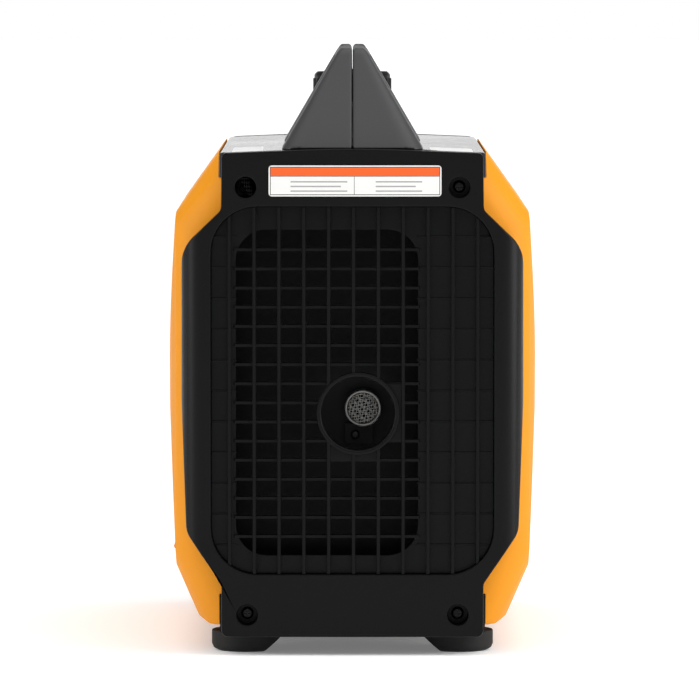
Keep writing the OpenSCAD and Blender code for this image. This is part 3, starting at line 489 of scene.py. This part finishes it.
def turned(name, centre, section, sides):
    """Turn a section about the Y axis; a section that ends where it starts makes a ring"""
    x, z = centre
    (radius, y), *rest = [(r * MM, y * MM) for r, y in section]
    pick_none()
    bpy.ops.mesh.primitive_circle_add(vertices=sides, radius=radius, location=(x, y, z),
                                      rotation=(math.radians(90), 0, 0))
    obj = bpy.context.active_object
    obj.name = name
    bpy.ops.object.mode_set(mode="EDIT")
    for next_radius, next_y in rest:
        bpy.ops.mesh.extrude_region_move(TRANSFORM_OT_translate={"value": (0, next_y - y, 0)})
        scale = next_radius / radius
        bpy.ops.transform.resize(value=(scale, 1, scale), center_override=(x, next_y, z))
        radius, y = next_radius, next_y
    bpy.ops.mesh.select_all(action="SELECT")
    bpy.ops.mesh.remove_doubles(threshold=0.01 * MM)
    bpy.ops.mesh.fill_holes(sides=0)
    bpy.ops.mesh.select_all(action="SELECT")
    bpy.ops.mesh.normals_make_consistent(inside=False)
    end_edit()
    settle(obj)
    return obj


def cut_box(name, low, high):
    """A block between two corners"""
    pick_none()
    centre = [(a + b) / 2 for a, b in zip(low, high)]
    bpy.ops.mesh.primitive_cube_add(size=1, location=centre)
    obj = bpy.context.active_object
    obj.name = name
    obj.scale = [b - a for a, b in zip(low, high)]
    settle(obj)
    return obj


def middle(node):
    """Middle of a node's box, across and up"""
    low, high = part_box(node)
    return (low.x + high.x) / 2, (low.z + high.z) / 2


# ---- pieces ----


class GENERATOR_OT_end_covers(Operator):
    """Black end covers with rounded edges, and their screws"""

    bl_idname = "generator.end_covers"
    bl_label = "End covers"

    def execute(self, context):
        edge = sizes().cover_edge
        refine("rear_cover", "rear_cover_moulding", edge)
        refine("front_cover", "front_cover_moulding", edge * 0.6)
        for node in ("rear_cover_screws", "front_cover_screws", "side_cover_screws"):
            refine(node, node + "_heads", 0.15 * MM, flat=0.0)
        return {"FINISHED"}


class GENERATOR_OT_grille(Operator):
    """Ribbed grille in the rear cover's recess"""

    bl_idname = "generator.grille"
    bl_label = "Exhaust grille"

    def execute(self, context):
        refine("rear_grille", "rear_grille_moulding", sizes().rib_edge, flat=0.0)
        return {"FINISHED"}


COLLAR = middle("exhaust_collar")
CUP_RADIUS = 14.7 * MM
TIP = (COLLAR[0] + 3.9 * MM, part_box("spark_arrester")[1].z - CUP_RADIUS)

# Sections of the turned pieces, as radius and Y in millimetres
COLLAR_SECTION = (
    (28.6, -198), (28.6, -217.2), (28.9, -218.1), (29.6, -218.6), (31.4, -218.6), (31.85, -218.3),
    (32, -217.8), (31.8, -217.3), (31.3, -217.1), (31.3, -198), (28.6, -198))
CUP_SECTION = (
    (12.0, -177), (12.0, -184.6), (12.1, -185.4), (12.6, -185.9), (13.3, -186), (14.1, -185.8),
    (14.6, -185.2), (14.7, -184.4), (14.7, -176), (14.0, -176), (12.0, -177))
# The black disc behind the screen is painted shade: it stands in for the dark hollow of the exhaust
# behind the wires
PAINTED_SHADE_DISC_SECTION = ((12.0, -178.2), (12.0, -178.8))
SCREEN_REACH = 11.9 * MM
SCREEN_FACE = -183.4 * MM
SCREEN_BULGE = 1.9 * MM
WIRE_WANDER = 0.5 * MM                  # how far a wire strays to each side
WANDER_RATE, WANDER_SHIFT = 620, 2.3    # how fast it strays, and the shift from wire to wire


class GENERATOR_OT_exhaust(Operator):
    """Exhaust collar, and the spark arrester with its woven screen"""

    bl_idname = "generator.exhaust"
    bl_label = "Exhaust outlet"

    def execute(self, context):
        collar = turned("exhaust_collar_ring", COLLAR, COLLAR_SECTION, 96)
        round_edges(collar, 0.1 * MM, angle=60)
        fit(collar, "black_moulding", "housing", "exhaust_collar")
        self.cup()
        self.screen(sizes().wire_count, sizes().wire_radius)
        refine("arrester_screw", "arrester_screw_head", 0.1 * MM)
        return {"FINISHED"}

    def cup(self):
        """Pressed cup with a rolled rim, and the bracket that holds it"""
        cup = turned("arrester_cup", TIP, CUP_SECTION, 72)
        x, z = TIP
        bracket = cut_box("bracket", (x - 14 * MM, -179 * MM, z - 28 * MM),
                          (x + 8 * MM, -177.6 * MM, z - 12.4 * MM))
        round_edges(cup, 0.15 * MM, angle=50)
        fit(cup, "wire_mesh", "housing", "spark_arrester", look="arrester_rim")
        round_edges(bracket, 0.15 * MM, angle=50)
        fit(bracket, "black_steel", "housing")

    def screen(self, count, radius):
        """Woven wires, domed outwards and a little uneven, over a black disc of painted shade"""
        curve = bpy.data.curves.new("arrester_screen", "CURVE")
        curve.dimensions = "3D"
        curve.bevel_depth = radius
        curve.bevel_resolution = 1
        reach = SCREEN_REACH
        pitch = 2 * reach / (count + 1)
        x, z = TIP
        for direction in (0, 1):
            for i in range(count):
                offset = (i - (count - 1) / 2) * pitch
                half = math.sqrt(reach * reach - offset * offset)
                steps = max(6, int(2 * half / (pitch / 2)))
                spline = curve.splines.new("POLY")
                spline.points.add(steps)
                for k, point in enumerate(spline.points):
                    along = -half + 2 * half * k / steps
                    side = offset + WIRE_WANDER * math.sin(
                        along * WANDER_RATE + i * WANDER_SHIFT + direction)
                    bulge = SCREEN_BULGE * (1 - (along * along + offset * offset) / (reach * reach))
                    weave = radius * 1.1 * math.cos(math.pi * (along / pitch + i + direction))
                    across, up = (along, side) if direction == 0 else (side, along)
                    point.co = (x + across, SCREEN_FACE - bulge + weave, z + up, 1)
        obj = bpy.data.objects.new("arrester_screen", curve)
        bpy.context.scene.collection.objects.link(obj)
        pick(obj)
        bpy.ops.object.convert(target="MESH")
        obj = bpy.context.active_object
        bpy.ops.object.shade_smooth()
        # A black disc behind the wires, as painted shade for the hollow of the exhaust
        painted_shade_disc = turned("screen_painted_shade_disc", TIP, PAINTED_SHADE_DISC_SECTION, 48)
        fit(painted_shade_disc, "black_steel", "housing")
        fit(obj, "wire_mesh", "housing")


class GENERATOR_OT_side_covers(Operator):
    """Orange side covers, the service door and its latch, with the edges round the hinge pins left
    sharp
    """

    bl_idname = "generator.side_covers"
    bl_label = "Side covers"

    def execute(self, context):
        edge = sizes().side_edge
        low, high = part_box("door_hinge_pins")
        around = 9 * MM
        hinge = ([c - around for c in low], [c + around for c in high])
        refine("left_side_cover", "left_side_moulding", edge, flat=1.5, merge=0.1 * MM, spare=hinge)
        refine("right_side_cover", "right_side_moulding", edge, flat=1.5, merge=0.3 * MM)
        refine("service_door", "service_door_moulding", edge * 0.6, flat=1.5, merge=0.1 * MM,
               spare=hinge)
        refine("service_door_latch", "service_door_latch_knob", sizes().small_edge)
        return {"FINISHED"}


class GENERATOR_OT_deck_and_handle(Operator):
    """Glossy deck, base pan and the two halves of the handle"""

    bl_idname = "generator.deck_and_handle"
    bl_label = "Deck and handle"

    def execute(self, context):
        refine("top_cover", "deck_moulding", 0.8 * MM, look="deck_gloss")
        for side in ("left", "right"):
            half = copy_node("handle_" + side, "handle_%s_moulding" % side)
            soften(half, 1.1 * MM, 8)
            fit(half, "grey_moulding", "housing", "handle_" + side)
        refine("base_pan", "base_pan_moulding", 0.4 * MM)
        refine("handle_screws", "handle_screws_heads", 0.15 * MM)
        return {"FINISHED"}


class GENERATOR_OT_feet(Operator):
    """Rubber feet"""

    bl_idname = "generator.feet"
    bl_label = "Feet"

    def execute(self, context):
        refine("rubber_feet", "rubber_feet_moulding", 0.8 * MM)
        return {"FINISHED"}


class GENERATOR_OT_fuel_cap(Operator):
    """Fuel cap with its grips and vent lever"""

    bl_idname = "generator.fuel_cap"
    bl_label = "Fuel cap"

    def execute(self, context):
        refine("fuel_cap", "fuel_cap_moulding", 0.5 * MM)
        refine("fuel_cap_vent", "fuel_cap_vent_lever", sizes().small_edge)
        return {"FINISHED"}


class GENERATOR_OT_controls(Operator):
    """Control panel with its dial, switch, sockets and lamps"""

    bl_idname = "generator.controls"
    bl_label = "Control panel"

    def execute(self, context):
        edge = sizes().small_edge
        for node in ("control_panel", "ac_outlets", "dc_usb_ports", "port_cover", "engine_dial",
                     "eco_switch", "breaker_button"):
            refine(node, node + "_moulding", edge)
        refine("panel_terminals", "panel_terminals_fittings", edge * 0.6, look="terminals")
        return {"FINISHED"}


# The label's print, in millimetres
MARGIN, LINE = 1.0, 0.6         # bare margin, and the frame line inside it
BAND_DEPTH, RULE = 6.6, 0.4     # the coloured band, and the rule under it
DIVIDER = (1.2, 1.6)            # left and right side of the line between the two columns
BAR_ROWS, BAR_START, BAR_PITCH, BAR_HEIGHT = 3, 3.6, 3.6, 1.1
PAPER_WHITE, INK = (0.86, 0.86, 0.84), (0.05, 0.045, 0.045)


class GENERATOR_OT_rear_label(Operator):
    """Plain printed label above the grille: a band, ruled bars and no lettering"""

    bl_idname = "generator.rear_label"
    bl_label = "Rear label"

    def execute(self, context):
        low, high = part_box("rear_label")
        obj = copy_node("rear_label", "rear_label_sheet", flat=0.1)

        def is_corner(edge):
            """An edge through the sheet's thickness, at one of its four corners"""
            one, other = (obj.data.vertices[v].co for v in edge.vertices)
            across = min(abs(one.x - low.x), abs(one.x - high.x))
            up = min(abs(one.z - low.z), abs(one.z - high.z))
            run = max(abs(one.x - other.x), abs(one.z - other.z))
            return max(across, up, run) < 0.1 * MM

        bevel_chosen(obj, is_corner, 2.6 * MM, 6, loop_slide=False)
        pick(obj)
        bpy.ops.object.shade_smooth_by_angle(angle=math.radians(30))
        obj.data.materials.clear()
        obj.data.materials.append(self.print_finish(low, high))
        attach(obj, "housing")
        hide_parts("rear_label")
        return {"FINISHED"}

    def print_finish(self, low, high):
        """Printed film: white sheet, thin frame line, coloured band and grey bars"""
        film = Finish("label_print", Roughness=0.32)
        x, z = film.axis("X"), film.axis("Z")

        def block(x0, x1, z0, z1):
            """1 inside a rectangle given in millimetres, and 0 outside it"""
            inside = (x > x0 * MM) * (x < x1 * MM)
            return inside * (z > z0 * MM) * (z < z1 * MM)

        left, right = low.x / MM, high.x / MM
        bottom, top = low.z / MM, high.z / MM
        inner = MARGIN + LINE
        under_band = top - inner - BAND_DEPTH
        frame_line = block(left + MARGIN, right - MARGIN, bottom + MARGIN, top - MARGIN) * (
            1 - block(left + inner, right - inner, bottom + inner, top - inner))
        band = block(left + inner, right - inner, under_band, top - inner)
        rule = block(left + inner, right - inner, under_band - RULE, under_band)
        divider = block(*DIVIDER, bottom + inner, under_band)
        bars = 0.0
        for start, length in ((left + 17, 44), (18, 36)):
            for row in range(BAR_ROWS):
                low_edge = bottom + BAR_START + BAR_PITCH * row
                bars = block(start, start + length - 5 * (row % 2),
                             low_edge, low_edge + BAR_HEIGHT) + bars
        colour = film.mix(band, PAPER_WHITE, tuple(colours().label_band))
        colour = film.mix(bars * 0.6, colour, INK)
        colour = film.mix(frame_line + rule + divider, colour, INK)
        colour = film.mix(film.noise(60.0, 3.0) * 0.06, colour, INK)
        film.set("Base Color", colour)
        film.bump(film.noise(500.0, 2.0), 0.01 * MM)
        return film.material


class GENERATOR_OT_starter(Operator):
    """Starter grip and its rope, one piece from the reel to the grip"""

    bl_idname = "generator.starter"
    bl_label = "Starter"

    def execute(self, context):
        refine("recoil_grip", "recoil_grip_moulding", 1.2 * MM, segments=3)
        obj = copy_node("recoil_rope", "starter_rope", flat=0.05)
        pick(obj)
        bpy.ops.object.shade_smooth()
        obj.data.materials.clear()
        obj.data.materials.append(finish("rope"))
        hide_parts("recoil_rope")
        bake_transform(obj)
        return {"FINISHED"}


class GENERATOR_OT_inner_parts(Operator):
    """Finishes for the engine, alternator, tank and everything else still shown as it was made"""

    bl_idname = "generator.inner_parts"
    bl_label = "Inner parts"

    def execute(self, context):
        for name, node in NODES.items():
            if not node.hide_render:
                node.data.materials.clear()
                node.data.materials.append(finish(SLOT_OF[name]))
        return {"FINISHED"}


MIDDLE_OF_OBJECT = (0, 0, 0.24)
# Each softbox: its name, place, width and height in metres, and power in watts
SOFTBOXES = (
    ("left_box", (-2.4, -0.7, 0.9), (1.0, 1.8), 25),
    ("right_box", (2.4, -0.7, 0.9), (1.0, 1.8), 40),
    ("back_box", (0, 28.0, 3.0), (34.0, 5.6), 900),
)
CEILING_STRENGTH, CEILING_SPREAD = 2.6, 100     # the spread is in degrees
EVEN_LIGHT = 0.22
FLOOR_SIZE = 60
FLOOR_GLOW = 0.16
CAMERA_PLACE = (-0.0019, -5.22, 0.558)
CAMERA_AIM = (-0.0019, -0.22, 0.2388)
CAMERA_LENS = 332                               # in millimetres, on a 36 mm sensor


class GENERATOR_OT_stage(Operator):
    """Pale floor, soft studio light and the camera"""

    bl_idname = "generator.stage"
    bl_label = "Stage"

    def execute(self, context):
        scene = context.scene
        scene.view_settings.view_transform = "Standard"
        self.floor()
        self.sky(scene)
        self.ceiling()
        for softbox in SOFTBOXES:
            self.softbox(*softbox)
        self.camera(scene)
        return {"FINISHED"}

    def floor(self):
        """White floor that glows a little, so it meets the backdrop without an edge"""
        pick_none()
        bpy.ops.mesh.primitive_plane_add(size=FLOOR_SIZE, location=(0, 0, 0))
        plane = bpy.context.active_object
        plane.name = "studio_floor"
        paint = Finish("studio_floor", Roughness=0.9, Specular_IOR_Level=0.0)
        paint.set("Base Color", (0.93, 0.93, 0.93))
        paint.set("Emission Color", (1.0, 1.0, 1.0))
        paint.set("Emission Strength", FLOOR_GLOW)
        plane.data.materials.append(paint.material)

    def sky(self, scene):
        """White backdrop for the eye, and a dimmer even light for the object"""
        world = bpy.data.worlds.new("studio")
        world.use_nodes = True
        scene.world = world
        tree = world.node_tree
        dim = tree.nodes["Background"]
        dim.inputs["Color"].default_value = (1, 1, 1, 1)
        dim.inputs["Strength"].default_value = EVEN_LIGHT
        backdrop = tree.nodes.new("ShaderNodeBackground")
        backdrop.inputs["Color"].default_value = (1, 1, 1, 1)
        backdrop.inputs["Strength"].default_value = 1.0
        rays = tree.nodes.new("ShaderNodeLightPath")
        choice = tree.nodes.new("ShaderNodeMixShader")
        tree.links.new(rays.outputs["Is Camera Ray"], choice.inputs[0])
        tree.links.new(dim.outputs[0], choice.inputs[1])
        tree.links.new(backdrop.outputs[0], choice.inputs[2])
        tree.links.new(choice.outputs[0], tree.nodes["World Output"].inputs["Surface"])

    def ceiling(self):
        """Wide even light from above, which also whitens the floor"""
        data = bpy.data.lights.new("ceiling", "SUN")
        data.energy = CEILING_STRENGTH
        data.angle = math.radians(CEILING_SPREAD)
        lamp = bpy.data.objects.new("ceiling", data)
        lamp.location = (0.4, -0.4, 3.0)
        point_at(lamp, (0, 0, 0))
        bpy.context.scene.collection.objects.link(lamp)

    def softbox(self, name, place, size, power):
        """Rectangular lamp that lights the object and isn't seen itself"""
        data = bpy.data.lights.new(name, "AREA")
        data.shape = "RECTANGLE"
        data.size, data.size_y = size
        data.energy = power
        lamp = bpy.data.objects.new(name, data)
        lamp.location = place
        lamp.visible_camera = False
        point_at(lamp, MIDDLE_OF_OBJECT)
        bpy.context.scene.collection.objects.link(lamp)

    def camera(self, scene):
        """Long lens, square on to the exhaust end and a little above it"""
        data = bpy.data.cameras.new("studio_camera")
        data.sensor_width = 36
        data.lens = CAMERA_LENS
        data.clip_end = 100
        camera = bpy.data.objects.new("studio_camera", data)
        camera.location = CAMERA_PLACE
        point_at(camera, CAMERA_AIM)
        scene.collection.objects.link(camera)
        scene.camera = camera


def point_at(obj, aim):
    """Turn a lamp or camera to look at a point"""
    dx, dy, dz = (a - b for a, b in zip(aim, obj.location))
    flat = math.hypot(dx, dy)
    obj.rotation_euler = (math.pi / 2 + math.atan2(dz, flat), 0, math.atan2(-dx, dy))


PIECES = (
    GENERATOR_OT_end_covers, GENERATOR_OT_grille, GENERATOR_OT_exhaust,
    GENERATOR_OT_side_covers, GENERATOR_OT_deck_and_handle, GENERATOR_OT_feet,
    GENERATOR_OT_fuel_cap, GENERATOR_OT_controls, GENERATOR_OT_rear_label,
    GENERATOR_OT_starter, GENERATOR_OT_inner_parts, GENERATOR_OT_stage,
)


class GENERATOR_PT_sidebar(Panel):
    """Generator"""

    bl_label = "Generator"
    bl_idname = "GENERATOR_PT_sidebar"
    bl_space_type = "VIEW_3D"
    bl_region_type = "UI"
    bl_category = "Generator"

    def draw(self, context):
        for group in (sizes(), colours()):
            for name in group.bl_rna.properties.keys():
                if name not in {"rna_type", "name"}:
                    self.layout.prop(group, name)
        for piece in PIECES:
            self.layout.operator(piece.bl_idname)


CLASSES = (GeneratorSizes, GeneratorColours, *PIECES, GENERATOR_PT_sidebar)


def register():
    for cls in CLASSES:
        bpy.utils.register_class(cls)
    bpy.types.Scene.generator_sizes = PointerProperty(type=GeneratorSizes)
    bpy.types.Scene.generator_colours = PointerProperty(type=GeneratorColours)


def unregister():
    del bpy.types.Scene.generator_sizes
    del bpy.types.Scene.generator_colours
    for cls in reversed(CLASSES):
        bpy.utils.unregister_class(cls)


def main():
    """Build every piece, then the stage"""
    register()
    for piece in PIECES:
        getattr(bpy.ops.generator, piece.bl_idname.split(".")[1])()


if __name__ == "__main__":
    main()
